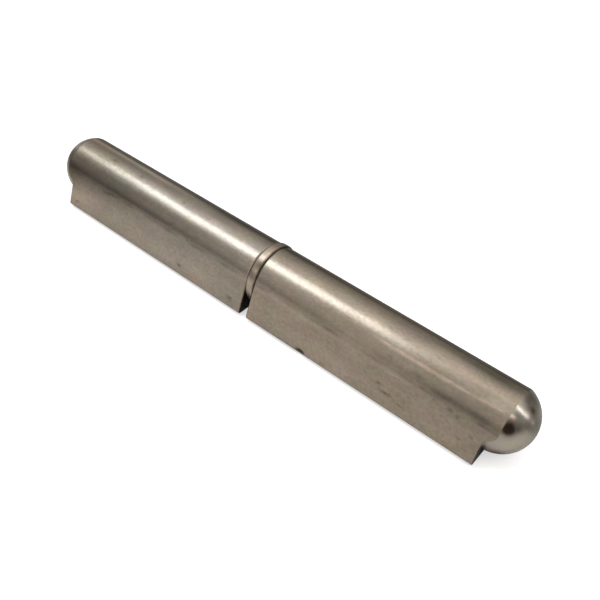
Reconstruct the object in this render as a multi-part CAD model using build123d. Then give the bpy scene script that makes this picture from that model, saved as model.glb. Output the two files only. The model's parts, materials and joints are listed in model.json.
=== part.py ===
"""Weld-on barrel hinge of the lift-off kind.

Two equal leaves are cut from drawn teardrop bar: a round barrel that runs tangentially into a
tapering tail, whose thin edge is welded to a gate, door or post. The outer end of each leaf is
turned to a ball nose, which leaves a square shoulder across the tail. One leaf holds a pressed-in
pin, the other turns on it, and a loose washer keeps the two leaves apart.

The hinge lies on one flat of its tails. X runs along the pin axis, +X towards the socket leaf,
Z is up and the tails point towards -Y. The origin is on the floor, under the middle of the box.
"""
import os
from math import asin, atan2, cos, degrees, hypot, radians, sin, sqrt, tan

from build123d import *

# Driving dimensions, in millimetres.
overall_length = 176.0       # from pole to pole of the two ball noses
barrel_diameter = 19.0       # round part of the drawn bar
tail_reach = 15.0            # pin axis to the thin edge of the tail
tail_edge_width = 1.2        # flat land along the thin edge
tail_edge_radius = 0.45      # rounding of the land's two corners
end_break = 0.35             # chamfer round each leaf's inner end face

nose_swell = 0.6             # nose ball radius less the barrel radius
nose_centre_inset = 0.6      # nose ball centre, measured inwards from the shoulder
shoulder_root_radius = 0.4   # left by the turning tool where the nose meets the shoulder

washer_thickness = 2.5
washer_overhang = 0.4        # washer rim beyond the barrel
washer_rim_radius = 0.5      # rounding of the washer's two outer edges
washer_bore_break = 0.3
axial_play = 0.05            # between the washer and each leaf

pin_diameter = 10.0
pin_pressed_length = 30.0    # held in the pin leaf
pin_free_length = 40.0       # beyond the pin leaf's end face
pin_tail_chamfer = 0.6       # on the pressed end
pin_lead_length = 2.4        # taper on the free end
pin_lead_angle = 20.0        # degrees from the axis
pin_lead_radius = 0.8        # rounding of the free end's edge

running_clearance = 0.05     # radial, socket bore over pin
washer_clearance = 0.10      # radial, washer bore over pin
bore_end_gap = 1.5           # between a pin end and the full-diameter end of its bore
bore_mouth_chamfer = 0.8
drill_point_angle = 118.0    # degrees, included

# Worked-out sizes.
barrel_radius = barrel_diameter / 2
pin_radius = pin_diameter / 2
washer_radius = barrel_radius + washer_overhang
inner_face = washer_thickness / 2 + axial_play
nose_radius = barrel_radius + nose_swell
nose_centre = overall_length / 2 - nose_radius
shoulder = nose_centre + nose_centre_inset
pin_start = -inner_face - pin_pressed_length
pin_end = -inner_face + pin_free_length

# Each tail flat is the tangent from a corner of the thin edge to the barrel.
corner_distance = hypot(tail_reach, tail_edge_width / 2)
corner_angle = atan2(tail_edge_width / 2, tail_reach)
flat_angle = asin(barrel_radius / corner_distance) - corner_angle


def bar_section():
    """Outline of the drawn bar about the pin axis, turned so that one tail flat is level."""
    half_width = tail_edge_width / 2
    touch_x = -barrel_radius * sin(flat_angle)
    touch_y = barrel_radius * cos(flat_angle)
    with BuildSketch() as section:
        with BuildLine():
            ThreePointArc((touch_x, -touch_y), (barrel_radius, 0), (touch_x, touch_y))
            Polyline(
                (touch_x, touch_y),
                (-tail_reach, half_width),
                (-tail_reach, -half_width),
                (touch_x, -touch_y),
            )
        make_face()
        fillet(section.vertices().sort_by(Axis.X)[:2], tail_edge_radius)
    return section.sketch.rotate(Axis.Z, degrees(flat_angle))


def turned_about_x(*outline):
    """Solid of revolution about the pin axis from a closed outline of lines and arcs."""
    with BuildPart() as turned:
        with BuildSketch(Plane.XY):
            with BuildLine():
                for piece in outline:
                    add(piece)
            make_face()
        revolve(axis=Axis.X)
    return turned.part


def nose_envelope():
    """What the lathe leaves of a bar: all of it up to the shoulder, then the ball nose."""
    outside = tail_reach + nose_radius
    root_height = sqrt(nose_radius**2 - nose_centre_inset**2)
    half_sweep = atan2(root_height, nose_centre_inset) / 2
    middle = (nose_centre + nose_radius * cos(half_sweep), nose_radius * sin(half_sweep))
    with BuildPart() as turned:
        with BuildSketch(Plane.XY):
            with BuildLine():
                Polyline((nose_centre + nose_radius, 0), (0, 0), (0, outside),
                         (shoulder, outside), (shoulder, root_height))
                ThreePointArc((shoulder, root_height), middle, (nose_centre + nose_radius, 0))
            face = make_face()
            root = face.vertices().sort_by_distance((shoulder, root_height, 0))[0]
            fillet(root, shoulder_root_radius)
        revolve(axis=Axis.X)
    return turned.part


def blind_bore(radius, depth):
    """Drilled hole in the inner end face, along +X, with its drill point and mouth chamfer."""
    point = radius / tan(radians(drill_point_angle / 2))
    mouth = radius + bore_mouth_chamfer
    outline = Polyline(
        (inner_face, 0),
        (inner_face, mouth),
        (inner_face + bore_mouth_chamfer, radius),
        (inner_face + depth, radius),
        (inner_face + depth + point, 0),
        close=True,
    )
    return turned_about_x(outline)


def leaf(bore_radius, bore_depth):
    """One leaf on the +X side: teardrop bar with a ball nose, a square shoulder and a bore."""
    section = Plane.YZ.offset(inner_face) * bar_section()
    bar = extrude(section, amount=overall_length / 2 - inner_face, dir=(1, 0, 0))
    inner_rim = bar.faces().sort_by(Axis.X)[0].edges()
    bar = chamfer(inner_rim, end_break)
    return bar & nose_envelope() - blind_bore(bore_radius, bore_depth)


def pin_leaf():
    """The leaf on the -X side, which holds the pin in a bore of the pin's own size."""
    return leaf(pin_radius, pin_pressed_length + bore_end_gap).mirror(Plane.YZ)


def socket_leaf():
    """The leaf on the +X side, which lifts off: its bore runs on the pin's free length."""
    reach_in_socket = pin_end - inner_face
    return leaf(pin_radius + running_clearance, reach_in_socket + bore_end_gap)


def hinge_pin():
    """Plain round pin, chamfered where it is pressed in and tapered where the socket enters."""
    lead_drop = pin_lead_length * tan(radians(pin_lead_angle))
    outline = Polyline(
        (pin_start, 0),
        (pin_start, pin_radius - pin_tail_chamfer),
        (pin_start + pin_tail_chamfer, pin_radius),
        (pin_end - pin_lead_length, pin_radius),
        (pin_end, pin_radius - lead_drop),
        (pin_end, 0),
        close=True,
    )
    pin = turned_about_x(outline)
    nose_edge = pin.edges().filter_by(GeomType.CIRCLE).sort_by(Axis.X)[-1]
    return fillet(nose_edge, pin_lead_radius)


def washer():
    """Loose ring between the leaves, with a rounded rim and a broken bore edge."""
    bore_radius = pin_radius + washer_clearance
    ring = Rot(0, 90, 0) * (
        Cylinder(washer_radius, washer_thickness) - Cylinder(bore_radius, washer_thickness)
    )
    edges = ring.edges().filter_by(GeomType.CIRCLE).sort_by(SortBy.RADIUS)
    ring = chamfer(edges[:2], washer_bore_break)
    rims = ring.edges().filter_by(GeomType.CIRCLE).sort_by(SortBy.RADIUS)[-2:]
    return fillet(rims, washer_rim_radius)


def write_parts():
    """Place every piece so that the hinge lies on the floor, and write one file for each."""
    tail_tip = bar_section().bounding_box().min.X
    axis_y = -(tail_tip + washer_radius) / 2
    axis_z = washer_radius
    pieces = {
        "pin_leaf": pin_leaf(),
        "socket_leaf": socket_leaf(),
        "hinge_pin": hinge_pin(),
        "washer": washer(),
    }
    os.makedirs("parts", exist_ok=True)
    for name, piece in pieces.items():
        export_step(Pos(0, axis_y, axis_z) * piece, f"parts/{name}.step")
    print(f"pin axis at y {axis_y:.4f}, z {axis_z:.4f}; shoulder at x {shoulder:.3f}")
    print(f"flat angle {degrees(flat_angle):.3f} degrees; pin ends at x {pin_end:.3f}")


write_parts()
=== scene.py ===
"""Weld-on barrel hinge, lying on a pale studio floor.

Two leaves of drawn teardrop bar with ball-turned noses, a loose washer between them and the
pin that they turn on. Everything is in metres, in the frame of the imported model: X along the
pin, Z up, tails towards -Y. Places round the pin axis are in degrees, from the top towards the
tail.
"""
import json
import math

import bmesh
import bpy
from bpy.props import FloatProperty, FloatVectorProperty, PointerProperty
from mathutils import Matrix, Vector, noise


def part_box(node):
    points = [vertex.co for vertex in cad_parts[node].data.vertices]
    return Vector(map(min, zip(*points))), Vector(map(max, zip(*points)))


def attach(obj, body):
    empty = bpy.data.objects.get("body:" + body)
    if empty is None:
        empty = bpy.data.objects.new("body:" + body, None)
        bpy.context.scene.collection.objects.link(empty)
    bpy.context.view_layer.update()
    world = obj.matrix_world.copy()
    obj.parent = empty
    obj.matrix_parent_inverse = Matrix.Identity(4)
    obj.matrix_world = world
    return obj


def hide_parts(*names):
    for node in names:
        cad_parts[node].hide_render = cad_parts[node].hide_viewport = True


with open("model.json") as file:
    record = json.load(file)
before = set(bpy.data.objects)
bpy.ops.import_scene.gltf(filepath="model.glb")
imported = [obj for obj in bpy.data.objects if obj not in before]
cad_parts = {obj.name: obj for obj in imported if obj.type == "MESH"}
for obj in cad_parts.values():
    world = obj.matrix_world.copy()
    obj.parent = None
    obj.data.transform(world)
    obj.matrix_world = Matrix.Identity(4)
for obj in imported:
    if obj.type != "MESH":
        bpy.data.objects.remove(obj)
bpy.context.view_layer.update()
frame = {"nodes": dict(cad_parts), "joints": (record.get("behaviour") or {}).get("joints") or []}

bl_info = {
    "name": "Weld-on barrel hinge",
    "version": (1, 0, 0),
    "blender": (4, 5, 0),
    "location": "3D View > Sidebar > Hinge",
    "description": "Builds a weld-on barrel hinge around its packed frame, with its studio",
    "category": "Object",
}

MM = 0.001
PIN_AXIS = Vector(next(j["pos_m"] for j in frame["joints"] if j["name"] == "swivel"))
LEAF_LOW, LEAF_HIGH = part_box("socket_leaf")
WASHER_LOW, WASHER_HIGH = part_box("washer")
PIN_LOW, PIN_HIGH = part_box("hinge_pin")
BARREL_RADIUS = (LEAF_HIGH.z - LEAF_LOW.z) / 2
PIN_RADIUS = (PIN_HIGH.z - PIN_LOW.z) / 2
WASHER_RADIUS = (WASHER_HIGH.z - WASHER_LOW.z) / 2

# The first of these also holds painted shadow and painted dark reflections; the last holds painted
# highlights and painted shadow besides random tone.
WEAR_AND_PAINTED_LIGHT = ("stain_and_painted_shade", "rub", "tone_and_painted_light")  # attributes that the meshes carry and their steels read
BORE, FACE, BAR, NOSE = range(4)  # regions of a leaf's surface
CORNER_STEPS = 4  # facets in each rounded corner of the tail's edge
DRILL_POINT = math.radians(59.0)  # half the angle of the drill's point at a bore's end
BORE_STATIONS = (0.97, 0.75, 0.5, 0.25, 0.03, 0.0)  # rings along a bore, 0 at its chamfer
FACE_STATIONS = (0.04, 0.35, 0.65, 0.96)  # rings across the end face, 0 at the bore
MERGE_DISTANCE = 0.002 * MM


# ---------------- settings

def length_setting(name, default, description):
    """A length for a user to change, its default in millimetres."""
    return FloatProperty(name=name, description=description, default=default * MM, unit="LENGTH")


def angle_setting(name, default, description):
    """An angle for a user to change, its default in degrees."""
    return FloatProperty(name=name, description=description, default=math.radians(default),
                         subtype="ANGLE")


def colour_setting(name, default, description):
    """A colour for a user to change."""
    return FloatVectorProperty(name=name, description=description, default=default, size=3,
                               subtype="COLOR")


class HingeSizes(bpy.types.PropertyGroup):
    """Sizes of the leaves and the washer that their boxes alone don't give."""

    tail_reach: length_setting("Tail reach", 15.0, "Pin axis to the thin edge of the tail")
    edge_width: length_setting("Edge width", 1.2, "Flat land along the tail's thin edge")
    edge_radius: length_setting("Edge radius", 0.45, "Rounding of the land's two corners")
    end_break: length_setting("End break", 0.35, "Chamfer round the inner end face")
    nose_radius: length_setting("Nose radius", 10.1, "Radius of the turned ball nose")
    nose_inset: length_setting("Nose inset", 0.6, "Ball centre, inwards from the shoulder")
    root_radius: length_setting("Root radius", 0.4, "Tool radius between shoulder and nose")
    bore_gap: length_setting("Bore end gap", 1.5, "Between a pin end and the full bore's end")
    mouth_chamfer: length_setting("Mouth chamfer", 0.8, "Chamfer at the bore's mouth")
    worn_edge: length_setting("Worn edge", 0.12, "Half-width of the softened edges")
    ring_step: length_setting("Ring step", 0.42, "Mesh spacing along and round a leaf")
    socket_clearance: length_setting(
        "Socket clearance", 0.05, "Radial clearance of the socket bore on the pin")
    washer_clearance: length_setting(
        "Washer clearance", 0.10, "Radial clearance of the washer on the pin")
    washer_rim: length_setting(
        "Washer rim rounding", 0.5, "Rounding of the washer's outer edges")
    washer_bore_break: length_setting(
        "Washer bore rounding", 0.3, "Rounding of the washer's bore edges")


class SteelFinish(bpy.types.PropertyGroup):
    """Colours and gloss of the bare steel."""

    drawn_colour: colour_setting(
        "Drawn steel", (0.304, 0.2495, 0.191), "Colour of the drawn bar's skin")
    grey_colour: colour_setting(
        "Grey skin", (0.300, 0.257, 0.205), "The skin's colour along the pin leaf")
    turned_colour: colour_setting(
        "Turned steel", (0.375, 0.327, 0.268), "Colour of the freshly turned faces")
    ground_colour: colour_setting("Ground steel", (0.42, 0.41, 0.395), "Colour of the pin")
    # This brown also paints shadow beneath the noses and dark reflections on the bars and the right
    # nose.
    stain_and_shade_colour: colour_setting(
        "Stain", (0.068, 0.045, 0.030), "Brown stain in pits and crevices")
    rub_colour: colour_setting(
        "Rub", (0.60, 0.44, 0.35), "Pinkish line rubbed along the socket leaf")
    washer_colour: colour_setting("Washer steel", (0.47, 0.382, 0.297), "Colour of the washer")
    drawn_roughness: FloatProperty(
        name="Drawn roughness", description="Gloss of the drawn skin",
        default=0.25, min=0.0, max=1.0)


class StudioSettings(bpy.types.PropertyGroup):
    """Camera, lights and floor."""

    azimuth: angle_setting("Azimuth", 34.71, "Camera's bearing, from -Y towards +X")
    elevation: angle_setting("Elevation", 42.14, "Camera's height over the floor, as an angle")
    roll: angle_setting("Roll", 6.70, "Camera's turn about its own line of sight")
    distance: length_setting("Distance", 231.75, "Camera to the point it looks at")
    target: FloatVectorProperty(
        name="Target", description="Point the camera looks at, from the middle of the pin axis",
        subtype="XYZ", size=3, default=(10.449 * MM, 1.722 * MM, -5.011 * MM))
    lens: FloatProperty(
        name="Lens", description="Focal length on a 36 mm sensor", default=46.65)
    floor_colour: colour_setting("Floor", (0.80, 0.78, 0.75), "Colour of the floor")
    floor_shade: colour_setting(
        "Floor behind", (0.30, 0.30, 0.30), "Colour of the floor behind the hinge, to the steel")
    key_colour: colour_setting("Key colour", (0.90, 1.0, 1.13), "Colour of both lamps")
    key_power: FloatProperty(
        name="Key power", description="Power of the overhead lamp", default=1.9)
    strip_power: FloatProperty(
        name="Strip power", description="Power of the strip lamp on the right", default=0.5)


# ---------------- node helpers

def feed(tree, made, inputs):
    """Links each input that is given as a socket, and sets any other."""
    for name, value in inputs.items():
        socket = made.inputs[name]
        if isinstance(value, bpy.types.NodeSocket):
            tree.links.new(value, socket)
        elif socket.type == "RGBA":
            socket.default_value = (*value[:3], 1.0)
        else:
            socket.default_value = value


def node(tree, kind, inputs=None, **settings):
    """Adds a node with these settings and inputs."""
    made = tree.nodes.new(kind)
    for name, value in settings.items():
        setattr(made, name, value)
    feed(tree, made, inputs or {})
    return made


def math_node(tree, operation, *values):
    """A Math node on one to three values or sockets, as its output socket."""
    return node(tree, "ShaderNodeMath", dict(enumerate(values)), operation=operation).outputs[0]


def add(tree, first, second):
    """The sum of two values, as a socket."""
    return math_node(tree, "ADD", first, second)


def multiply(tree, first, second):
    """The product of two values, as a socket."""
    return math_node(tree, "MULTIPLY", first, second)


def blend(tree, first, first_share, second, second_share):
    """The sum of two values, each times its share, as a socket."""
    return add(tree, multiply(tree, first, first_share), multiply(tree, second, second_share))


def about(tree, value, middle, amount):
    """middle, plus the value's distance from a half times amount."""
    centred = math_node(tree, "SUBTRACT", value, 0.5)
    return math_node(tree, "MULTIPLY_ADD", centred, amount, middle)


def map_range(tree, value, low, high, to_low=0.0, to_high=1.0):
    """A value between low and high carried over to to_low and to_high, as a socket."""
    return node(tree, "ShaderNodeMapRange",
                {"Value": value, "From Min": low, "From Max": high,
                 "To Min": to_low, "To Max": to_high}).outputs[0]


def vector_math(tree, operation, first, second):
    """A Vector Math node on two vectors."""
    return node(tree, "ShaderNodeVectorMath", {0: first, 1: second}, operation=operation)


def separate(tree, vector):
    """A vector's parts, as sockets named X, Y and Z."""
    return node(tree, "ShaderNodeSeparateXYZ", {0: vector}).outputs


def mix_colour(tree, factor, first, second, blend_type="MIX"):
    """Mixes two colours, as the output socket."""
    return node(tree, "ShaderNodeMix", {"Factor": factor, 6: first, 7: second},
                data_type="RGBA", blend_type=blend_type).outputs[2]


def new_group(name, kind, inputs, outputs):
    """An empty node group with its sockets; returns tree, input sockets and output node."""
    tree = bpy.data.node_groups.new(name, kind)
    for label, socket_type, default in inputs:
        socket = tree.interface.new_socket(
            label, in_out="INPUT", socket_type="NodeSocket" + socket_type)
        if default is not None:
            socket.default_value = default
    for label, socket_type in outputs:
        tree.interface.new_socket(
            label, in_out="OUTPUT", socket_type="NodeSocket" + socket_type)
    return tree, tree.nodes.new("NodeGroupInput").outputs, tree.nodes.new("NodeGroupOutput")


def use_group(tree, name, inputs):
    """Places a shader group with these inputs; returns its output sockets."""
    made = node(tree, "ShaderNodeGroup", inputs, node_tree=bpy.data.node_groups[name])
    return made.outputs


def stretched_noise(tree, vector, waves, detail, seed=(0.0, 0.0, 0.0), output="Fac"):
    """Noise with a number of waves to the metre along each axis, as a socket."""
    moved = node(tree, "ShaderNodeMapping", {"Vector": vector, "Location": seed, "Scale": waves})
    made = node(tree, "ShaderNodeTexNoise",
                {"Vector": moved.outputs[0], "Scale": 1.0, "Detail": detail})
    return made.outputs[output]


# ---------------- shader groups

def make_drawn_grain():
    """Lines drawn along X by the die: fine scratches and broad dull streaks."""
    tree, given, out = new_group(
        "drawn_grain", "ShaderNodeTree", [("Vector", "Vector", None)],
        [("Streak", "Float"), ("Height", "Float")])
    vector = given["Vector"]
    fine = stretched_noise(tree, vector, (12.0, 2600.0, 2600.0), 4.0)
    broad = stretched_noise(tree, vector, (5.0, 620.0, 620.0), 3.0, (3.0, 1.0, 7.0))
    feed(tree, out, {"Streak": blend(tree, fine, 0.45, broad, 0.55),
                     "Height": blend(tree, fine, 1.0, broad, 0.6)})


def make_mottle():
    """Cloudy variation in tone and tint, fine grit, and sparse dark specks."""
    tree, given, out = new_group(
        "mottle", "ShaderNodeTree", [("Vector", "Vector", None)],
        [("Cloud", "Float"), ("Tint", "Color"), ("Grit", "Float"), ("Speck", "Float")])
    vector = given["Vector"]
    broad = stretched_noise(tree, vector, (45.0, 110.0, 110.0), 3.0)
    patchy = stretched_noise(tree, vector, (170.0, 330.0, 330.0), 3.0, (5.0, 2.0, 8.0))
    rare = stretched_noise(tree, vector, (330.0, 520.0, 520.0), 2.0, (9.0, 4.0, 2.0))
    feed(tree, out, {
        "Cloud": blend(tree, broad, 0.55, patchy, 0.45),
        "Tint": stretched_noise(tree, vector, (150.0, 330.0, 330.0), 2.0, output="Color"),
        "Grit": stretched_noise(tree, vector, (900.0, 1300.0, 1300.0), 3.0),
        "Speck": map_range(tree, rare, 0.66, 0.76),
    })


def make_turning_marks():
    """Rings about the pin axis: by distance along X on a nose, by radius on a flat face."""
    tree, given, out = new_group(
        "turning_marks", "ShaderNodeTree",
        [("Vector", "Vector", None), ("Axis", "Vector", None)], [("Ring", "Float")])
    parts = separate(tree, vector_math(tree, "SUBTRACT", given["Vector"], given["Axis"]).outputs[0])
    across = node(tree, "ShaderNodeCombineXYZ", {"Y": parts["Y"], "Z": parts["Z"]}).outputs[0]
    radius = node(tree, "ShaderNodeVectorMath", {0: across}, operation="LENGTH").outputs["Value"]
    rings = node(tree, "ShaderNodeCombineXYZ", {"X": parts["X"], "Y": radius}).outputs[0]
    broad = stretched_noise(tree, rings, (1500.0, 1500.0, 1.0), 2.0)
    fine = stretched_noise(tree, rings, (6000.0, 6000.0, 1.0), 2.0)
    feed(tree, out, {"Ring": blend(tree, broad, 0.5, fine, 0.5)})


# ---------------- materials

def new_steel(name):
    """An empty metal material: its tree, its shader and its coordinates."""
    material = bpy.data.materials.new(name)
    material.use_nodes = True
    tree = material.node_tree
    shader = tree.nodes["Principled BSDF"]
    shader.inputs["Metallic"].default_value = 1.0
    return tree, shader, tree.nodes.new("ShaderNodeTexCoord").outputs["Object"]


def read_wear_and_painted_light(tree):
    """The mesh's attributes as sockets: stains with painted shadow, the rub, and tone with painted
    highlights and painted shadow.
    """
    return [node(tree, "ShaderNodeAttribute", attribute_name=name).outputs["Fac"]
            for name in WEAR_AND_PAINTED_LIGHT]


def comb(tree, shader, place, amount, turn=0.0):
    """Stretches the gloss across fine grooves that run round the pin axis."""
    offset = vector_math(tree, "SUBTRACT", place, PIN_AXIS).outputs[0]
    round_axis = vector_math(tree, "CROSS_PRODUCT", (1.0, 0.0, 0.0), offset).outputs[0]
    tangent = node(tree, "ShaderNodeVectorTransform", {"Vector": round_axis},
                   vector_type="VECTOR", convert_from="OBJECT", convert_to="WORLD")
    feed(tree, shader, {"Tangent": tangent.outputs[0], "Anisotropic": amount,
                        "Anisotropic Rotation": turn})


def finish_steel(tree, shader, base, tone, tint, roughness, height, bump=0.003 * MM):
    """Feeds a toned and tinted colour, a roughness and a bump height to the shader."""
    grey = node(tree, "ShaderNodeCombineColor", {0: tone, 1: tone, 2: tone}).outputs[0]
    toned = mix_colour(tree, 1.0, base, grey, "MULTIPLY")
    relief = node(tree, "ShaderNodeBump", {"Height": height, "Strength": 1.0, "Distance": bump})
    feed(tree, shader, {"Base Color": mix_colour(tree, 0.09, toned, tint, "OVERLAY"),
                        "Roughness": roughness, "Normal": relief.outputs["Normal"]})


def drawn_steel(finish):
    """Cold-drawn bar's skin: satin along its length, cloudy, with stains, a rub line and painted
    light.
    """
    grey_middle, grey_end, brown_start = -34.0 * MM, 26.0 * MM, 44.0 * MM
    tree, shader, place = new_steel("bar_skin")
    stain_and_painted_shade, rub, tone_and_painted_light = read_wear_and_painted_light(tree)
    grain = use_group(tree, "drawn_grain", {"Vector": place})
    mottle = use_group(tree, "mottle", {"Vector": place})
    # Painted highlights and painted shadow brighten and darken the tone here.
    tone = add(tree, tone_and_painted_light, about(tree, grain["Streak"], 1.0, 0.14))
    tone = multiply(tree, tone, about(tree, mottle["Cloud"], 1.0, 0.60))
    tone = multiply(tree, tone, about(tree, mottle["Grit"], 1.0, 0.46))
    along = math_node(tree, "SUBTRACT", separate(tree, place)["X"], grey_middle)
    brown = map_range(tree, math_node(tree, "ABSOLUTE", along), grey_end, brown_start)
    base = mix_colour(tree, brown, finish.grey_colour, finish.drawn_colour)
    base = mix_colour(tree, multiply(tree, rub, 0.85), base, finish.rub_colour)
    dark = math_node(tree, "MAXIMUM", stain_and_painted_shade, multiply(tree, mottle["Speck"], 0.26))
    base = mix_colour(tree, dark, base, finish.stain_and_shade_colour)
    roughness = about(tree, grain["Streak"], finish.drawn_roughness, 0.14)
    roughness = math_node(tree, "MULTIPLY_ADD", stain_and_painted_shade, 0.2, roughness)
    height = blend(tree, grain["Height"], 1.0, mottle["Grit"], 0.8)
    finish_steel(tree, shader, base, tone, mottle["Tint"], roughness, height)
    comb(tree, shader, place, 0.65)
    feed(tree, shader, {"Specular Tint": (0.72, 0.69, 0.64)})


def turned_steel(name, colour, finish, ring_tone, cloud_tone, roughness, ring_roughness,
                 stain_roughness, grooves):
    """Turned steel with rings left by the lathe, stains and painted light: noses and ends, or the
    washer.
    """
    tree, shader, place = new_steel(name)
    stain_and_painted_shade, rub, tone_and_painted_light = read_wear_and_painted_light(tree)
    ring = use_group(tree, "turning_marks", {"Vector": place, "Axis": PIN_AXIS})["Ring"]
    mottle = use_group(tree, "mottle", {"Vector": place})
    # Painted highlights and painted shadow brighten and darken the tone here.
    tone = add(tree, tone_and_painted_light, about(tree, ring, 1.0, ring_tone))
    tone = multiply(tree, tone, about(tree, mottle["Cloud"], 1.0, cloud_tone))
    base = mix_colour(tree, rub, colour, finish.rub_colour)
    base = mix_colour(tree, stain_and_painted_shade, base, finish.stain_and_shade_colour)
    dulled = math_node(tree, "MULTIPLY_ADD", stain_and_painted_shade, stain_roughness,
                       about(tree, ring, roughness, ring_roughness))
    finish_steel(tree, shader, base, tone, mottle["Tint"], dulled, ring)
    comb(tree, shader, place, grooves, turn=0.25)


def ground_steel(finish):
    """The pin: centreless-ground, with a thin film of grease."""
    tree, shader, place = new_steel("ground_pin")
    ring = use_group(tree, "turning_marks", {"Vector": place, "Axis": PIN_AXIS})["Ring"]
    mottle = use_group(tree, "mottle", {"Vector": place})
    base = mix_colour(tree, multiply(tree, mottle["Speck"], 0.4),
                      finish.ground_colour, finish.stain_and_shade_colour)
    finish_steel(tree, shader, base, about(tree, mottle["Cloud"], 1.0, 0.25), mottle["Tint"],
                 about(tree, ring, 0.20, 0.10), ring, bump=0.0015 * MM)
    feed(tree, shader, {"Coat Weight": 0.35, "Coat Roughness": 0.18})


# ---------------- leaf mesh

def flat_angle(sizes):
    """Angle between the tail's middle plane and each of its flats."""
    half = sizes.edge_width / 2
    reach = math.hypot(sizes.tail_reach, half)
    return math.asin(BARREL_RADIUS / reach) - math.atan2(half, sizes.tail_reach)


def heading(bearing):
    """Unit vector in the plane of the bar's section."""
    return Vector((math.cos(bearing), math.sin(bearing)))


def bar_outline(sizes):
    """Points and outward normals round the drawn bar, about the pin axis, one flat level."""
    angle = flat_angle(sizes)
    radius = sizes.edge_radius
    normal_up = Vector((-math.sin(angle), math.cos(angle)))
    centre_y = radius - sizes.tail_reach
    centre_z = (BARREL_RADIUS - radius + math.sin(angle) * centre_y) / math.cos(angle)
    corner_centre = Vector((centre_y, centre_z))
    touch = normal_up * BARREL_RADIUS
    corner = corner_centre + normal_up * radius

    upper = []
    turn = math.pi / 2 + angle
    steps = round(turn * BARREL_RADIUS / sizes.ring_step)
    for i in range(1, steps):
        normal = heading(turn * i / steps)
        upper.append((normal * BARREL_RADIUS, normal))
    steps = round((corner - touch).length / sizes.ring_step)
    for i in range(steps):
        upper.append((touch.lerp(corner, i / steps), normal_up))
    for i in range(CORNER_STEPS + 1):
        normal = heading(turn + (math.pi - turn) * i / CORNER_STEPS)
        upper.append((corner_centre + normal * radius, normal))
    front = [(Vector((BARREL_RADIUS, 0.0)), Vector((1.0, 0.0)))]
    back = [(Vector((-sizes.tail_reach, 0.0)), Vector((-1.0, 0.0)))]
    flip = Vector((1.0, -1.0))
    lower = [(point * flip, normal * flip) for point, normal in reversed(upper)]
    turned = Matrix.Rotation(angle, 2)
    return [(turned @ point, turned @ normal) for point, normal in front + upper + back + lower]


class NoseProfile:
    """Turned outline of the outer end, from the shoulder plane over the root to the pole.

    travel is the distance along it: inwards on the shoulder plane, round the root, then over
    the ball.
    """

    def __init__(self, sizes):
        self.ball = sizes.nose_radius
        self.centre = LEAF_HIGH.x - self.ball
        self.shoulder = self.centre + sizes.nose_inset
        self.root = sizes.root_radius
        self.root_x = self.shoulder + self.root
        reach = self.ball + self.root
        self.root_r = math.sqrt(reach**2 - (self.root_x - self.centre)**2)
        self.ball_start = math.atan2(self.root_r, self.root_x - self.centre)
        self.top = 2 * self.ball
        self.to_root = self.top - self.root_r
        self.to_ball = self.to_root + self.root * (math.pi - self.ball_start)
        self.to_pole = self.to_ball + self.ball * self.ball_start

    def point(self, travel):
        """(x, radius) at a distance along the profile."""
        if travel < self.to_root:
            return self.shoulder, self.top - travel
        if travel < self.to_ball:
            bearing = math.pi + (travel - self.to_root) / self.root
            return (self.root_x + self.root * math.cos(bearing),
                    self.root_r + self.root * math.sin(bearing))
        bearing = self.ball_start - (travel - self.to_ball) / self.ball
        return (self.centre + self.ball * math.cos(bearing),
                max(self.ball * math.sin(bearing), 0.0))

    def start(self, radius):
        """Distance along the profile at which it reaches a given radius."""
        if radius >= self.root_r:
            return self.top - radius
        low, high = self.to_root, self.to_pole
        for _ in range(40):
            middle = (low + high) / 2
            if self.point(middle)[1] > radius:
                low = middle
            else:
                high = middle
        return low


def leaf_rings(sizes, bore_radius, bore_depth):
    """Rings of points from the bottom of the bore, round the outside, to the nose's pole.

    Each ring has one point for each point of the bar's outline. Returns the rings and the
    numbers of the first rings of the face, the bar and the nose.
    """
    outline = bar_outline(sizes)
    profile = NoseProfile(sizes)
    bearings = [math.atan2(p.y, p.x) for p, _ in outline]
    worn = sizes.worn_edge
    inner = LEAF_LOW.x

    def circle(x, radius):
        return [Vector((x, radius * math.cos(b), radius * math.sin(b))) for b in bearings]

    def section(x, inset):
        moved = [p - n * inset for p, n in outline]
        return [Vector((x, p.x, p.y)) for p in moved]

    rings = [circle(inner + bore_depth + bore_radius / math.tan(DRILL_POINT), 0.0),
             circle(inner + bore_depth, bore_radius)]
    straight = bore_depth - sizes.mouth_chamfer
    rings += [circle(inner + sizes.mouth_chamfer + straight * t, bore_radius)
              for t in BORE_STATIONS]
    face_start = len(rings)
    mouth = circle(inner, bore_radius + sizes.mouth_chamfer)
    broken = section(inner, sizes.end_break)
    rings.append(mouth)
    rings += [[a.lerp(b, t) for a, b in zip(mouth, broken)] for t in FACE_STATIONS]
    rings.append(broken)
    bar_start = len(rings)
    first = inner + sizes.end_break
    rings.append(section(first, 0.0))
    starts = [profile.start(p.length) for p, _ in outline]
    ends = [profile.point(start)[0] for start in starts]
    count = round((profile.shoulder - first) / sizes.ring_step)
    for j in range(1, count + 1):
        rings.append([Vector((first + (end - worn - first) * j / count, p.x, p.y))
                      for (p, _), end in zip(outline, ends)])
    nose_start = len(rings)
    steps = round(profile.ball * math.pi / 2 / sizes.ring_step)
    for j in range(steps + 1):
        ring = []
        for start, bearing in zip(starts, bearings):
            x, radius = profile.point(start + worn + (profile.to_pole - start - worn) * j / steps)
            ring.append(Vector((x, radius * math.cos(bearing), radius * math.sin(bearing))))
        rings.append(ring)
    return rings, (face_start, bar_start, nose_start)


# ---------------- weathering and painted light

SPOT_REACH = 2.5  # a spot ends at this many half-sizes from its middle
# Waves to the metre of the noise in each kind of weathering and painted light.
SPECKLE_WAVES = 1900.0
STAIN_WAVES = 700.0
RIM_WAVES = 500.0
RUB_WAVES = 260.0
SEAM_WAVES = 160.0
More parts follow.
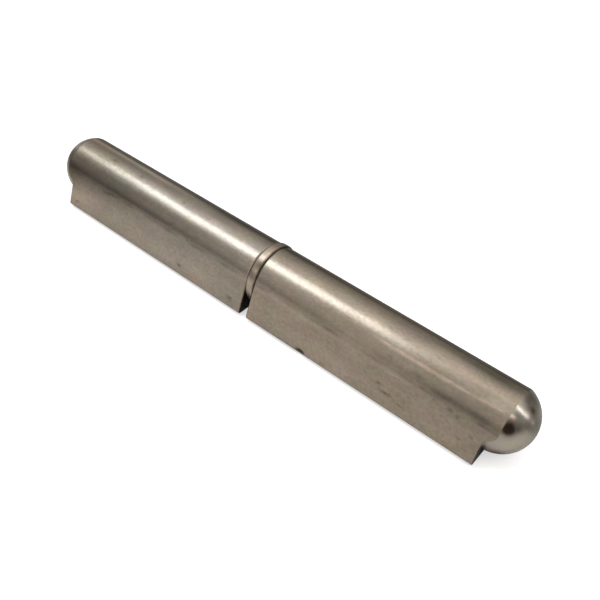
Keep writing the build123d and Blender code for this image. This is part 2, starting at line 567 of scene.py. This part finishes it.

# Knocks, pits and smudges on the bars, in millimetres. On the upper flat, drop is measured from the
# line where it leaves the barrel; on the barrel, around is in degrees.
FLAT_MARKS = (
    # x, drop, half-length, half-width, depth, stain
    (-75, 9.4, 1, 0.4, 0.05, 0.45),
    (-62, 0.4, 1.8, 0.5, 0.03, 0.5),
    (-27, 8.8, 1, 0.35, 0.07, 0.65),
    (-5.9, 9, 1.1, 0.6, 0.08, 0.6),
    (22, 11.3, 1.2, 0.6, 0.6, 2.2),
    (29.5, 10.9, 0.9, 0.4, 0.1, 0.35),
    (47.4, 5.9, 0.7, 0.45, 0.08, 0.65),
    (49.9, 7.5, 1.8, 0.35, 0.07, 0.7),
    (55, 8.3, 2.2, 0.3, 0.03, 0.45),
    (68, 0.9, 1.2, 0.6, 0.03, 0.5),
    (70.3, 1.6, 0.6, 0.6, 0.04, 0.5),
    (72.5, 7, 0.7, 0.3, 0.04, 0.45),
    (75.6, 4.6, 0.5, 0.4, 0.04, 0.45),
)
BARREL_MARKS = (
    # x, around, half-length, half-width, depth, stain
    (-66.3, 9.8, 1.3, 0.5, 0.05, 0.6),
    (-53.8, 10.8, 1.2, 0.5, 0.05, 0.6),
    (56.7, 59.5, 1.6, 0.5, 0.03, 0.35),
    (64.5, 66.7, 2.6, 0.6, 0.02, 0.35),
)
# Broad soft patches on the bars, placed like the marks: mostly painted highlights and painted dark
# reflections, set where the barrels' and flats' reflections fall, and some lighter or darker tone.
FLAT_PATCHES = (
    # x, drop, half-length, half-width, shade
    (-79, 1.5, 3, 2.6, -0.18),
    (-76, 8, 9, 3.5, 0.3),
    (-70, 6.5, 6, 2.5, 0.14),
    (-66, 0.5, 20, 2.4, -0.32),
    (-52, 8, 16, 4, 0.22),
    (-34, 9.5, 8, 1.8, 0.12),
    (-18, 7.5, 16, 5, 0.18),
    (2, 6, 0.8, 6, 0.1),
    (12, 7, 10, 5, 0.06),
    (14, 0.5, 24, 0.8, 0.2),
    (19, 1.2, 5, 1.6, 0.16),
    (33, 9, 12, 3, 0.16),
    (50, 0.8, 3, 1.2, 0.16),
    (70, 2, 9, 1.2, -0.1),
    (78, 5, 3, 3, -0.08),
)
BARREL_PATCHES = (
    # x, around, half-length, half-width, shade
    (-80, -15, 5, 1.2, 0.25),
    (-80, 64, 6, 1.5, -0.25),
    (-78, 24, 6, 1, 0.35),
    (-75, 40, 8, 1.2, -0.12),
    (-66, -4, 22, 1.1, -0.22),
    (-66, 53, 20, 1.1, -0.16),
    (-63, -13.5, 19, 1, 0.6),
    (-58, 32.5, 15, 1, -0.32),
    (-56, 14, 26, 0.8, 0.22),
    (-50, -10, 9, 0.9, 0.34),
    (-50, 65.5, 34, 1, -0.22),
    (-40, 32, 7, 0.6, -0.16),
    (-20, 14, 5, 0.8, 0.16),
    (-19, -13, 12, 1.4, -0.26),
    (-18, 30, 8, 0.7, -0.13),
    (-16, 21, 36, 0.9, -0.2),
    (-2, -17, 27, 1.2, -0.34),
    (0, -23, 120, 0.7, -0.3),
    (14, 43, 24, 1.4, 0.18),
    (16, 26.5, 16, 0.6, -0.1),
    (35, 62, 12, 0.6, 0.16),
    (36, 29, 8, 0.8, -0.14),
    (40, 19, 5, 1, 0.18),
    (50, 10, 4.5, 1.6, -0.18),
    (52, 40, 8, 1.2, 0.12),
    (58, 22, 12, 1.6, 0.16),
    (66, 67.5, 14, 0.8, -0.2),
    (72, -9, 12, 1.1, -0.4),
    (72, 19.5, 6, 0.8, 0.12),
    (72, 26, 6, 0.8, -0.1),
    (72, 62, 13, 1.9, -0.3),
    (74, -22, 6, 1.6, -0.25),
    (75, 1, 6, 1.4, -0.22),
    (76, 47, 4, 1, -0.13),
    (76, 66, 4, 1, -0.16),
    (78, 35, 4, 0.9, 0.4),
)
# Painted highlights, painted shadow and painted dark reflections on the two noses, some brown
# stains, and one raised graze with a painted glint.
NOSE_MARKS = (
    # x, around, half-length, half-width, height, stain, rub, shade
    (-82.6, 8, 1.6, 2.4, 0, 0, 0, 0.3),
    (-82.4, 45, 1.6, 2.4, 0, 0.45, 0, 0),
    (82, 38.2, 1.2, 0.5, 0.15, 0, 1, 0.8),
    (82, 140, 3.5, 2.6, 0, 0.95, 0, 0),
    (82.2, 44, 1.2, 0.6, 0, 0.4, 0, 0),
    (82.2, 122, 2.4, 1.7, 0, 0.85, 0, -0.4),
    (82.6, -8, 1.8, 1.5, 0, 0.55, 0, 0),
    (82.6, 56.5, 1.8, 1.7, 0, 1.6, 0, -0.35),
    (82.8, 18, 1.3, 0.8, 0, 0, 0, 0.45),
    (82.8, 30.5, 1.6, 0.7, 0, 0.3, 0, -0.1),
    (83, -1, 2, 1, 0, 0.55, 0, -0.1),
    (83.8, -16, 2.4, 2.4, 0, 0.16, 0, 0),
    (84, 4, 2.2, 1.3, 0, 0.45, 0, 0),
    (84.2, 50, 1.5, 1.3, 0, 0.62, 0, 0),
    (84.4, 19.5, 2.2, 0.75, 0, 0, 0, 1.45),
    (84.6, 90, 3, 4.5, 0, 0, 0, 0.2),
    (84.8, 2, 1.6, 1.1, 0, 0.8, 0, -0.25),
    (86.2, -30, 1.8, 2.8, 0, 0, 0, 1),
    (86.2, 18.5, 0.9, 0.6, 0, 0, 0, 0.7),
)
# Stains round the washer's rim, a rub with a painted glint, and a painted highlight and painted
# darkening beside its own highlight.
WASHER_MARKS = (
    # x, around, half-length, half-width, stain, rub, shade
    (-1, 60, 0.6, 1.4, 0.45, 0, 0),
    (-0.2, -12, 1.2, 1.8, 0.4, 0, 0),
    (0, 31.5, 1, 0.9, 0, 0, -0.3),
    (0.2, 52, 0.6, 0.6, 0, 0.6, 1),
    (0.4, 14.5, 0.9, 0.7, 0, 0, 0.4),
    (0.6, 65, 0.6, 1.2, 0.35, 0, 0),
    (0.9, 40, 0.4, 0.8, 0.5, 0, 0),
)


def clamp(value):
    """The value, kept between 0 and 1."""
    return min(max(value, 0.0), 1.0)


def from_axis(point):
    """Distance from the pin axis."""
    return math.hypot(point.y - PIN_AXIS.y, point.z - PIN_AXIS.z)


def place_round(x, around, radius):
    """Point at a radius from the pin axis."""
    bearing = math.radians(around)
    out = Vector((0.0, -math.sin(bearing), math.cos(bearing)))
    return Vector((x, 0.0, 0.0)) + PIN_AXIS + out * radius


def place_on_flat(sizes, x, drop=0.0):
    """Point on the upper flat, below the line where it leaves the barrel."""
    bearing = 2 * flat_angle(sizes)
    down = Vector((0.0, -math.cos(bearing), -math.sin(bearing)))
    return place_round(x, math.degrees(bearing), BARREL_RADIUS) + down * drop


def make_spots(rows, place):
    """Rows in millimetres as spots: where place puts them, their half-sizes and the rest."""
    return [(place(x * MM, where), a * MM, b * MM, *rest) for x, where, a, b, *rest in rows]


def weigh(point, spots):
    """The spots that reach a point: each one's weight, 1 at its middle, and its values."""
    for place, half_length, half_width, *values in spots:
        gap = point - place
        if abs(gap.x) <= SPOT_REACH * half_length:
            across = math.hypot(gap.y, gap.z)
            yield math.exp(-(gap.x / half_length)**2 - (across / half_width)**2), *values


class LeafWearAndPaintedLight:
    """Weathering and painted light of one leaf, the socket leaf if outward is +1 and the pin leaf
    if it is -1.

    For each region of the surface, a method gives the lift along the normal, the stains, the rub
    and the tone at a point, with painted shadow, highlights and dark reflections.
    """

    def __init__(self, sizes, outward):
        profile = NoseProfile(sizes)
        self.sizes = sizes
        self.outward = outward
        self.root_x = profile.root_x

        def on_flat(x, drop):
            return place_on_flat(sizes, x, drop * MM)

        def on_barrel(x, around):
            return place_round(x, around, BARREL_RADIUS)

        def on_nose(x, around):
            return place_round(
                x, around, math.sqrt(profile.ball**2 - (abs(x) - profile.centre)**2))

        self.marks = (make_spots(FLAT_MARKS, on_flat)
                      + make_spots(BARREL_MARKS, on_barrel))
        self.patches = (make_spots(FLAT_PATCHES, on_flat)
                        + make_spots(BARREL_PATCHES, on_barrel))
        self.nose_marks = make_spots(NOSE_MARKS, on_nose)

    def seam_reflection(self, point):
        """Dark, broken line where the upper flat leaves the barrel, 0 to 1: a painted dark
        reflection, in brown.
        """
        half_width = 0.55 * MM
        across = (point - place_on_flat(self.sizes, point.x)).length / half_width
        if across > SPOT_REACH:
            return 0.0
        broken = 0.55 + 0.9 * noise.noise(Vector((point.x * SEAM_WAVES, 3.0, 0.0)))
        return clamp(broken) * math.exp(-across * across)

    def rub_line(self, point):
        """How far the pinkish line rubbed along the socket leaf shows, 0 to 1."""
        middle, half_length = 60.0 * MM, 20.0 * MM
        line_bearing, bend, half_width = 42.0, 4.0, 2.3  # degrees
        along = (point.x - middle) / half_length
        if self.outward < 0 or abs(along) >= 1.0 or point.z < PIN_AXIS.z:
            return 0.0
        offset = point - PIN_AXIS
        bearing = math.degrees(math.atan2(-offset.y, offset.z))
        across = (bearing - line_bearing + bend * max(along, 0.0)**2) / half_width
        broken = 0.95 + 0.5 * noise.noise(Vector((point.x * RUB_WAVES, 0.0, 0.0)))
        return broken * math.sqrt(1.0 - along * along) * math.exp(-across**2)

    def bore(self, point):
        """A film of grease, the same all through."""
        return 0.0, 0.6, 0.0, 0.0

    def face(self, point):
        """Dark grease, with painted shadow on the tail outside the washer, in the gap between the
        leaves.
        """
        # Painted shadow in the gap between the leaves, outside the washer.
        return 0.0, 0.8, 0.0, -0.5 if from_axis(point) > WASHER_RADIUS else 0.0

    def bar(self, point):
        """Speckle, strongest on the flats; a painted dark reflection along the top of the flat; the
        rub line; marks; painted highlights and shadow.
        """
        onset = 0.2 * MM
        on_flat = clamp((from_axis(point) - BARREL_RADIUS) / onset)
        lift = 0.0
        # Painted dark reflection along the line where the upper flat leaves the barrel.
        stain_and_painted_shade = 0.42 * self.seam_reflection(point)
        tone_and_painted_light = (0.03 + 0.12 * on_flat) * noise.noise(point * SPECKLE_WAVES)
        for weight, depth, strength in weigh(point, self.marks):
            lift -= depth * MM * weight
            stain_and_painted_shade = max(stain_and_painted_shade, strength * weight)
        # Patches of painted highlight and painted shadow, and some tone.
        for weight, amount in weigh(point, self.patches):
            tone_and_painted_light += amount * weight
        return lift, stain_and_painted_shade, self.rub_line(point), tone_and_painted_light

    def nose(self, point):
        """Darker at the root and over the shoulder, with painted shadow beneath the nose; and the
        marks, with their painted light.
        """
        dirt_width, underside_depth, underside_onset = 0.5 * MM, 2.5 * MM, 1.5 * MM
        past_root = max((abs(point.x - PIN_AXIS.x) - self.root_x) / dirt_width, 0.0)
        near_root = math.exp(-past_root**2)
        below_axis = PIN_AXIS.z - point.z
        # How far into the painted shadow beneath the nose a point lies.
        shaded_underside = clamp((below_axis - underside_depth) / underside_onset)
        lift = rub = 0.0
        # Painted shadow beneath the nose darkens and browns it.
        stain_and_painted_shade = (0.35 + 0.6 * shaded_underside) * near_root
        tone_and_painted_light = -0.75 * shaded_underside * near_root
        for weight, height, strength, graze, amount in weigh(point, self.nose_marks):
            lift += height * MM * weight
            stain_and_painted_shade = max(stain_and_painted_shade, strength * weight)
            rub = max(rub, graze * weight)
            tone_and_painted_light += amount * weight
        return lift, stain_and_painted_shade, rub, tone_and_painted_light


def apply_wear_and_painted_light_to_leaf(shape, outward, sizes, layers, region_layer):
    """Knocks a leaf's surface and writes its stains, rub and tone, with their painted light, vertex
    by vertex.
    """
    wear_and_light = LeafWearAndPaintedLight(sizes, outward)
    rules = {BORE: wear_and_light.bore, FACE: wear_and_light.face, BAR: wear_and_light.bar, NOSE: wear_and_light.nose}
    for vert in shape.verts:
        point = vert.co.copy()
        region = vert[region_layer]
        lift, stain_and_painted_shade, rub, tone_and_painted_light = rules[region](point)
        vert.co = point + vert.normal * lift
        unevenness = 0.5 if region == BAR else 0.15
        stain_and_painted_shade *= 1.0 + unevenness * noise.noise(point * STAIN_WAVES)
        for layer, value in zip(layers, (min(stain_and_painted_shade, 1.0), min(rub, 1.0), tone_and_painted_light)):
            vert[layer] = value


def apply_wear_and_painted_light_to_washer(mesh):
    """Writes the washer's three attributes: dirt at its edges, and its marks with their painted
    glint and highlight.
    """
    layers = [mesh.attributes.new(name, "FLOAT", "POINT").data for name in WEAR_AND_PAINTED_LIGHT]
    half = (WASHER_HIGH.x - WASHER_LOW.x) / 2
    dirt_width = 0.25 * MM
    marks = make_spots(WASHER_MARKS, lambda x, around: place_round(x, around, WASHER_RADIUS))
    for vert in mesh.vertices:
        from_edge = (half - abs(vert.co.x - PIN_AXIS.x)) / dirt_width
        uneven = 0.8 + 0.8 * noise.noise(vert.co * RIM_WAVES)
        stain_and_painted_shade = 0.55 * uneven * math.exp(-from_edge**2)
        rub = tone_and_painted_light = 0.0
        for weight, strength, graze, amount in weigh(vert.co, marks):
            stain_and_painted_shade = max(stain_and_painted_shade, strength * weight)
            rub = max(rub, graze * weight)
            tone_and_painted_light += amount * weight
        for layer, value in zip(layers, (min(stain_and_painted_shade, 1.0), min(rub, 1.0), tone_and_painted_light)):
            layer[vert.index].value = value


# ---------------- pieces

def new_object(name, data):
    """Adds an object to the scene."""
    made = bpy.data.objects.new(name, data)
    bpy.context.scene.collection.objects.link(made)
    return made


def build_leaf(name, outward, bore_radius, bore_depth, sizes, materials):
    """One leaf as a closed mesh. outward is +1 for the socket leaf and -1 for the pin leaf."""
    skin, turned = range(2)
    rings, starts = leaf_rings(sizes, bore_radius, bore_depth)
    shape = bmesh.new()
    layers = [shape.verts.layers.float.new(name) for name in WEAR_AND_PAINTED_LIGHT]
    region_layer = shape.verts.layers.int.new("region")
    grid = []
    for j, ring in enumerate(rings):
        row = []
        for point in ring:
            placed = Vector((point.x * outward, point.y, point.z)) + PIN_AXIS
            vert = shape.verts.new(placed)
            vert[region_layer] = sum(j >= start for start in starts)
            row.append(vert)
        grid.append(row)
    _, bar_start, nose_start = starts
    for j, (row, following) in enumerate(zip(grid, grid[1:])):
        on_skin = bar_start - 1 <= j < nose_start
        for i in range(len(row)):
            k = (i + 1) % len(row)
            face = shape.faces.new((row[i], row[k], following[k], following[i]))
            face.material_index = skin if on_skin else turned
            face.smooth = True
    bmesh.ops.remove_doubles(shape, verts=shape.verts, dist=MERGE_DISTANCE)
    bmesh.ops.recalc_face_normals(shape, faces=shape.faces)
    shape.normal_update()
    apply_wear_and_painted_light_to_leaf(shape, outward, sizes, layers, region_layer)
    shape.verts.layers.int.remove(region_layer)
    mesh = bpy.data.meshes.new(name)
    shape.to_mesh(mesh)
    shape.free()
    for material in materials:
        mesh.materials.append(material)
    piece = new_object(name, mesh)
    piece.modifiers.new("even_shading", "WEIGHTED_NORMAL").keep_sharp = True
    return piece


def ring_tree():
    """Geometry nodes that turn a rounded ring about X, from its bore, rim and thickness."""
    tree, given, out = new_group(
        "turned_ring", "GeometryNodeTree",
        [("Bore Radius", "Float", 5.1 * MM), ("Rim Radius", "Float", 9.9 * MM),
         ("Thickness", "Float", 2.5 * MM), ("Rim Rounding", "Float", 0.5 * MM),
         ("Bore Rounding", "Float", 0.3 * MM), ("Segments", "Int", 240),
         ("Corner Steps", "Int", 10), ("Centre", "Vector", None),
         ("Material", "Material", None)],
        [("Geometry", "Geometry")])
    bore, rim = given["Bore Radius"], given["Rim Radius"]
    middle = multiply(tree, add(tree, bore, rim), 0.5)
    block = node(tree, "GeometryNodeCurvePrimitiveQuadrilateral",
                 {"Width": math_node(tree, "SUBTRACT", rim, bore),
                  "Height": given["Thickness"]}, mode="RECTANGLE")
    across = separate(tree, node(tree, "GeometryNodeInputPosition").outputs[0])["X"]
    rounding = node(tree, "ShaderNodeMix",
                    {"Factor": math_node(tree, "GREATER_THAN", across, 0.0),
                     2: given["Bore Rounding"], 3: given["Rim Rounding"]})
    rounded = node(tree, "GeometryNodeFilletCurve",
                   {"Curve": block.outputs[0], "Radius": rounding.outputs[0],
                    "Count": given["Corner Steps"]}, mode="POLY")
    rail = node(tree, "GeometryNodeCurvePrimitiveCircle",
                {"Resolution": given["Segments"], "Radius": middle}, mode="RADIUS")
    swept = node(tree, "GeometryNodeCurveToMesh",
                 {"Curve": rail.outputs[0], "Profile Curve": rounded.outputs[0]})
    upright = node(tree, "GeometryNodeTransform",
                   {"Geometry": swept.outputs[0], "Translation": given["Centre"],
                    "Rotation": (0.0, math.pi / 2, 0.0)})
    smooth = node(tree, "GeometryNodeSetShadeSmooth", {"Geometry": upright.outputs[0]})
    real = node(tree, "GeometryNodeRealizeInstances", {"Geometry": smooth.outputs[0]})
    painted = node(tree, "GeometryNodeSetMaterial",
                   {"Geometry": real.outputs[0], "Material": given["Material"]})
    feed(tree, out, {"Geometry": painted.outputs[0]})
    return tree


def bake_tree(name, tree, values):
    """Runs a geometry node tree with these named inputs and keeps the result as a plain mesh."""
    seed = bpy.data.meshes.new(name + "_seed")
    holder = new_object(name, seed)
    modifier = holder.modifiers.new("tree", "NODES")
    modifier.node_group = tree
    sockets = {item.name: item.identifier for item in tree.interface.items_tree
               if item.item_type == "SOCKET" and item.in_out == "INPUT"}
    for label, value in values.items():
        modifier[sockets[label]] = value
    graph = bpy.context.evaluated_depsgraph_get()
    mesh = bpy.data.meshes.new_from_object(holder.evaluated_get(graph))
    holder.modifiers.remove(modifier)
    holder.data = mesh
    bpy.data.meshes.remove(seed)
    mesh.name = name
    return holder


# ---------------- operators

def keep_piece(piece, body, slot, *nodes):
    """Attaches a finished piece to its body and hides the CAD nodes it stands for; its finish,
    slot, is not used.
    """
    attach(piece, body)
    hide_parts(*nodes)


class HINGE_OT_finishes(bpy.types.Operator):
    """Makes the shader groups and the four steel materials"""

    bl_idname = "hinge.make_finishes"
    bl_label = "Make finishes"

    def execute(self, context):
        finish = context.scene.hinge_finish
        make_drawn_grain()
        make_mottle()
        make_turning_marks()
        drawn_steel(finish)
        turned_steel("turned_bright", finish.turned_colour, finish,
                     ring_tone=0.12, cloud_tone=0.40, roughness=0.27, ring_roughness=0.12,
                     stain_roughness=0.25, grooves=0.92)
        turned_steel("washer_skin", finish.washer_colour, finish,
                     ring_tone=0.10, cloud_tone=0.70, roughness=0.40, ring_roughness=0.0,
                     stain_roughness=0.20, grooves=0.90)
        ground_steel(finish)
        return {"FINISHED"}


class HINGE_OT_leaves(bpy.types.Operator):
    """Builds the two teardrop-bar leaves with their noses, bores, weathering and painted light"""

    bl_idname = "hinge.make_leaves"
    bl_label = "Make leaves"

    def execute(self, context):
        sizes = context.scene.hinge_sizes
        steels = [bpy.data.materials["bar_skin"], bpy.data.materials["turned_bright"]]
        held = -LEAF_LOW.x - PIN_LOW.x
        free = PIN_HIGH.x - LEAF_LOW.x
        pin_leaf = build_leaf("pin_leaf_bar", -1, PIN_RADIUS, held + sizes.bore_gap,
                              sizes, steels)
        keep_piece(pin_leaf, "pin_side", "drawn_steel", "pin_leaf")
        socket_leaf = build_leaf("socket_leaf_bar", 1, PIN_RADIUS + sizes.socket_clearance,
                                 free + sizes.bore_gap, sizes, steels)
        keep_piece(socket_leaf, "socket_side", "drawn_steel", "socket_leaf")
        return {"FINISHED"}


class HINGE_OT_washer(bpy.types.Operator):
    """Turns the loose washer between the leaves"""

    bl_idname = "hinge.make_washer"
    bl_label = "Make washer"

    def execute(self, context):
        sizes = context.scene.hinge_sizes
        washer = bake_tree("washer_ring_turned", ring_tree(), {
            "Bore Radius": PIN_RADIUS + sizes.washer_clearance,
            "Rim Radius": WASHER_RADIUS,
            "Thickness": WASHER_HIGH.x - WASHER_LOW.x,
            "Rim Rounding": sizes.washer_rim,
            "Bore Rounding": sizes.washer_bore_break,
            "Centre": PIN_AXIS,
            "Material": bpy.data.materials["washer_skin"],
        })
        apply_wear_and_painted_light_to_washer(washer.data)
        keep_piece(washer, "washer_ring", "turned_steel", "washer")
        return {"FINISHED"}


class HINGE_OT_pin(bpy.types.Operator):
    """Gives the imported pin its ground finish"""

    bl_idname = "hinge.finish_pin"
    bl_label = "Finish pin"

    def execute(self, context):
        for slot in frame["nodes"]["hinge_pin"].material_slots:
            slot.material = bpy.data.materials["ground_pin"]
        return {"FINISHED"}


class HINGE_OT_stage(bpy.types.Operator):
    """Sets the camera, the floor, the lamps and the room"""

    bl_idname = "hinge.set_stage"
    bl_label = "Set stage"

    def execute(self, context):
        studio = context.scene.hinge_studio
        place_camera(studio)
        make_floor(studio)
        make_room()
        make_lamps(studio)
        context.scene.view_settings.view_transform = "Standard"
        return {"FINISHED"}


# ---------------- stage

def place_camera(studio):
    """Camera on its bearing, looking at the target, with its roll."""
    level = math.cos(studio.elevation)
    bearing = Vector((math.sin(studio.azimuth) * level, -math.cos(studio.azimuth) * level,
                      math.sin(studio.elevation)))
    data = bpy.data.cameras.new("camera")
    data.lens = studio.lens
    data.sensor_width = 36.0
    data.clip_start = 0.01
    camera = new_object("camera", data)
    aim = bearing.to_track_quat("Z", "Y").to_matrix().to_4x4()
    spin = Matrix.Rotation(studio.roll, 4, "Z")
    place = PIN_AXIS + Vector(studio.target) + bearing * studio.distance
    camera.matrix_world = Matrix.Translation(place) @ aim @ spin
    bpy.context.scene.camera = camera


def make_floor(studio):
    """Wide pale floor that keeps the hinge's shadow. Behind the hinge and past its far end it
    is darker in the steel, and its own light makes up for that to the camera."""
    half = 4.0
    own_light = 0.54
    dark_from_y, dark_at_y = 0.0, 20.0 * MM
    dark_from_x, dark_at_x = -105.0 * MM, -135.0 * MM
    mesh = bpy.data.meshes.new("floor")
    corners = [(-half, -half, 0.0), (half, -half, 0.0), (half, half, 0.0), (-half, half, 0.0)]
    mesh.from_pydata(corners, [], [(0, 1, 2, 3)])
    material = bpy.data.materials.new("floor_paper")
    material.use_nodes = True
    tree = material.node_tree
    parts = separate(tree, tree.nodes.new("ShaderNodeTexCoord").outputs["Object"])
    dark = math_node(tree, "MAXIMUM", map_range(tree, parts["Y"], dark_from_y, dark_at_y),
                     map_range(tree, parts["X"], dark_from_x, dark_at_x))
    path = tree.nodes.new("ShaderNodeLightPath").outputs
    seen = math_node(tree, "MAXIMUM", path["Is Camera Ray"], path["Is Transmission Ray"])
    lift = math_node(tree, "MULTIPLY_ADD", dark,
                     studio.floor_colour[0] - studio.floor_shade[0], own_light)
    feed(tree, tree.nodes["Principled BSDF"], {
        "Base Color": mix_colour(tree, dark, studio.floor_colour, studio.floor_shade),
        "Roughness": 0.9,
        "Specular IOR Level": 0.0,
        "Emission Color": (1.0, 1.0, 1.0),
        "Emission Strength": multiply(tree, seen, lift),
    })
    mesh.materials.append(material)
    new_object("floor", mesh)


def make_room():
    """Pale room, white to the camera: walls that brighten towards the ceiling and the back,
    with two soft windows."""
    # upward part of the direction, brightness
    stops = ((0.0, 0.20), (0.15, 0.25), (0.3, 0.55), (0.55, 0.60), (0.8, 1.1), (1.0, 1.7))
    # direction, cosine of the half-angle, added brightness at the middle
    windows = (((-0.12, -0.94, 0.32), 0.80, 0.55), ((-0.64, 0.69, 0.35), 0.965, 0.22))
    world = bpy.data.worlds.new("room")
    bpy.context.scene.world = world
    world.use_nodes = True
    tree = world.node_tree
    direction = tree.nodes.new("ShaderNodeTexCoord").outputs["Generated"]
    parts = separate(tree, direction)
    ramp = node(tree, "ShaderNodeValToRGB", {"Fac": parts["Z"]})
    elements = ramp.color_ramp.elements
    while len(elements) < len(stops):
        elements.new(0.5)
    for element, (place, grey) in zip(elements, stops):
        element.position = place
        element.color = (grey, grey, grey, 1.0)
    light = multiply(tree, ramp.outputs["Color"],
                     map_range(tree, parts["Y"], -0.3, 0.3, 0.68, 0.92))
    for bearing, rim, glow in windows:
        toward = vector_math(tree, "DOT_PRODUCT", direction, Vector(bearing).normalized())
        window = map_range(tree, toward.outputs["Value"], rim, 1.0, 0.0, glow)
        light = add(tree, light, window)
    seen = tree.nodes.new("ShaderNodeLightPath").outputs["Is Camera Ray"]
    feed(tree, tree.nodes["Background"], {"Color": (1.0, 1.0, 1.0),
                                          "Strength": math_node(tree, "MAXIMUM", light, seen)})


def add_area_lamp(name, bearing, distance, size, power, colour):
    """Rectangular lamp in a direction from the hinge, facing it, long side along X."""
    data = bpy.data.lights.new(name, "AREA")
    data.shape = "RECTANGLE"
    data.size, data.size_y = size
    data.energy = power
    data.color = colour
    away = Vector(bearing).normalized()
    along = (Vector((1.0, 0.0, 0.0)) - away * away.x).normalized()
    turn = Matrix((along, away.cross(along), away)).transposed().to_4x4()
    lamp = new_object(name, data)
    lamp.matrix_world = Matrix.Translation(PIN_AXIS + away * distance) @ turn


def make_lamps(studio):
    """A soft lamp overhead and to the left, whose reflection runs along the barrels, and a
    dimmer strip on the right."""
    distance = 0.80
    add_area_lamp("key_lamp", (-0.50, -0.172, 0.85), distance, (0.42, 0.25),
                  studio.key_power, studio.key_colour)
    add_area_lamp("strip_lamp", (0.62, 0.10, 0.78), distance, (0.50, 0.09),
                  studio.strip_power, studio.key_colour)


# ---------------- panel and registration

class HINGE_PT_parts(bpy.types.Panel):
    """Lists the operators in the 3D view's sidebar"""

    bl_label = "Barrel hinge"
    bl_idname = "HINGE_PT_parts"
    bl_space_type = "VIEW_3D"
    bl_region_type = "UI"
    bl_category = "Hinge"

    def draw(self, context):
        for operator in OPERATORS:
            self.layout.operator(operator.bl_idname)


OPERATORS = (HINGE_OT_stage, HINGE_OT_finishes, HINGE_OT_leaves, HINGE_OT_washer, HINGE_OT_pin)
CLASSES = (HingeSizes, SteelFinish, StudioSettings, *OPERATORS, HINGE_PT_parts)


def register():
    for item in CLASSES:
        bpy.utils.register_class(item)
    bpy.types.Scene.hinge_sizes = PointerProperty(type=HingeSizes)
    bpy.types.Scene.hinge_finish = PointerProperty(type=SteelFinish)
    bpy.types.Scene.hinge_studio = PointerProperty(type=StudioSettings)


def unregister():
    del bpy.types.Scene.hinge_studio
    del bpy.types.Scene.hinge_finish
    del bpy.types.Scene.hinge_sizes
    for item in reversed(CLASSES):
        bpy.utils.unregister_class(item)


def main():
    """Builds the stage and every piece in order."""
    register()
    bpy.ops.hinge.set_stage()
    bpy.ops.hinge.make_finishes()
    bpy.ops.hinge.make_leaves()
    bpy.ops.hinge.make_washer()
    bpy.ops.hinge.finish_pin()


if __name__ == "__main__":
    main()
